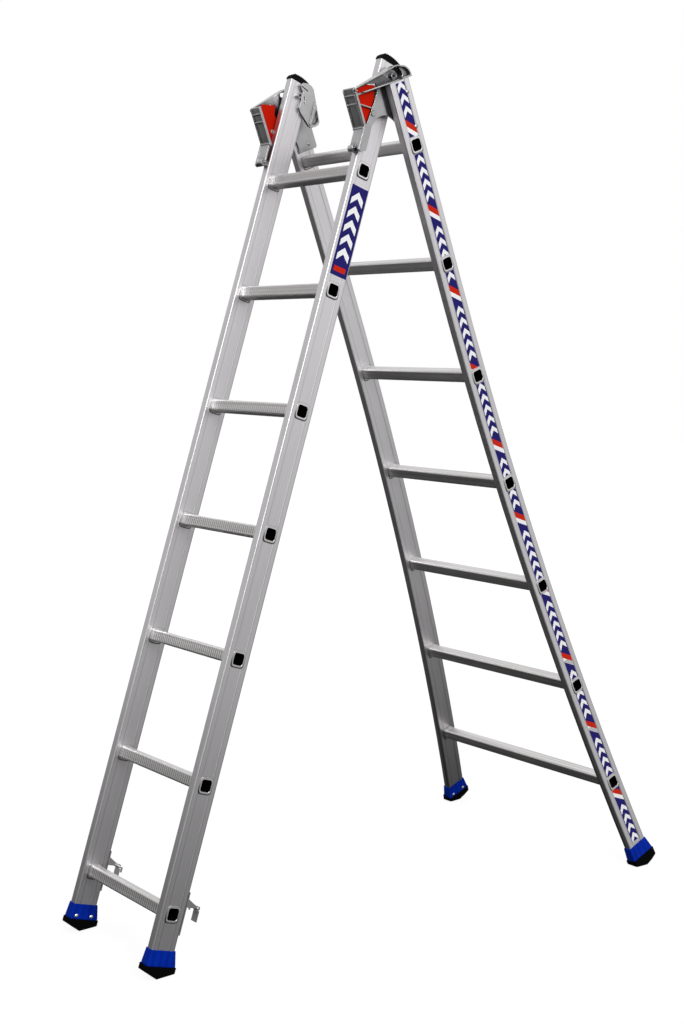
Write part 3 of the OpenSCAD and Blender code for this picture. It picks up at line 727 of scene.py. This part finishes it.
def soft_lamp(name, at, to, size, watts):
    data = bpy.data.lights.new(name, "AREA")
    data.shape = "RECTANGLE"
    data.size, data.size_y = size
    data.energy = watts
    lamp = bpy.data.objects.new(name, data)
    lamp.location = at
    lamp.rotation_euler = (Vector(to) - Vector(at)).to_track_quat("-Z", "Y").to_euler()
    bpy.context.scene.collection.objects.link(lamp)


soft_lamp("key_box", at=(4.2, -0.9, 2.9), to=(0.1, 0.0, 1.1), size=(1.8, 1.8), watts=105)
soft_lamp("front_box", at=(-2.9, -2.6, 1.9), to=(0.1, -0.3, 1.2), size=(1.6, 2.4), watts=4.2)


def seen_by_camera(w):
    """1 for rays that the camera sends, straight or through glass, else 0."""
    straight = w.node("ShaderNodeLightPath", out="Is Camera Ray")
    through = w.node("ShaderNodeLightPath", out="Is Transmission Ray")
    return (straight + through).clamp()


# Studio: a white backdrop for the camera, which also mirrors in the metal above the floor line; round it
# a room that is bright above and on the right and dark towards the floor
BRIGHT_SIDE = (0.131, 0.107, 1.0)
BACKDROP_EDGE = 0.77
BACKDROP_FADE = 0.14
HORIZON_FADE = 0.08
ROOM_SPAN = 1.2
ROOM = (
    (0.0, 0.018),
    (0.25, 0.042),
    (0.375, 0.085),
    (0.458, 0.22),
    (0.546, 0.46),
    (0.637, 0.70),
    (0.75, 0.88),
    (1.0, 1.0),
)
world = bpy.data.worlds.new("studio")
world.use_nodes = True
world.node_tree.nodes.clear()
bpy.context.scene.world = world
w = Wire(world.node_tree)
ray = w.node("ShaderNodeTexCoord", out="Generated")
level = w.along(ray, BRIGHT_SIDE) / (2 * ROOM_SPAN) + 0.5
room = w.node("ShaderNodeValToRGB", {"stops": ROOM}, {0: level.clamp()})
dim = w.node("ShaderNodeBackground", (), {"Color": room, "Strength": 1.0})
white = w.node("ShaderNodeBackground", (), {"Color": grey(1), "Strength": 1.0})
mirrored = w.node("ShaderNodeLightPath", out="Is Glossy Ray")
behind = (w.along(ray, look) - BACKDROP_EDGE) / BACKDROP_FADE
above = w.along(ray, UP) / HORIZON_FADE
backdrop = (seen_by_camera(w) + mirrored * behind.clamp() * above.clamp()).clamp()
shown = w.node("ShaderNodeMixShader", (), {0: backdrop, 1: dim, 2: white})
w.node("ShaderNodeOutputWorld", (), {"Surface": shown})

# Floor: white to the camera, with a little of a lit pale floor near the feet for their shadow
FLOOR_NEAR = 1.2
FLOOR_FADE = 2.0
FLOOR_GLOW = 0.85
FLOOR_HALF = 14.0
FLOOR_DROP = 0.0005
floor_white = bpy.data.materials.new("floor_white")
floor_white.use_nodes = True
floor_white.node_tree.nodes.clear()
w = Wire(floor_white.node_tree)
reach = w.node("ShaderNodeVectorMath", {"operation": "LENGTH"}, {0: w.place()}, "Value")
glow = FLOOR_GLOW + ((reach - FLOOR_NEAR) / FLOOR_FADE).clamp() * (1 - FLOOR_GLOW)
clear = w.node("ShaderNodeBsdfTransparent")
pale = w.node("ShaderNodeBsdfDiffuse", (), {"Color": grey(0.80)})
white = w.node("ShaderNodeEmission", (), {"Color": grey(1), "Strength": 1.06})
lit = w.node("ShaderNodeMixShader", (), {0: glow, 1: pale, 2: white})
shown = w.node("ShaderNodeMixShader", (), {0: seen_by_camera(w), 1: clear, 2: lit})
w.node("ShaderNodeOutputMaterial", (), {"Surface": shown})

floor_mesh = bpy.data.meshes.new("floor")
floor_mesh.from_pydata(
    [(x, y, 0) for x, y in oblong(-FLOOR_HALF, FLOOR_HALF, -FLOOR_HALF, FLOOR_HALF)], [], [(0, 1, 2, 3)]
)
floor_mesh.materials.append(floor_white)
floor = bpy.data.objects.new("floor", floor_mesh)
floor.location.z = -FLOOR_DROP
bpy.context.scene.collection.objects.link(floor)

bpy.context.scene.view_settings.view_transform = "Standard"
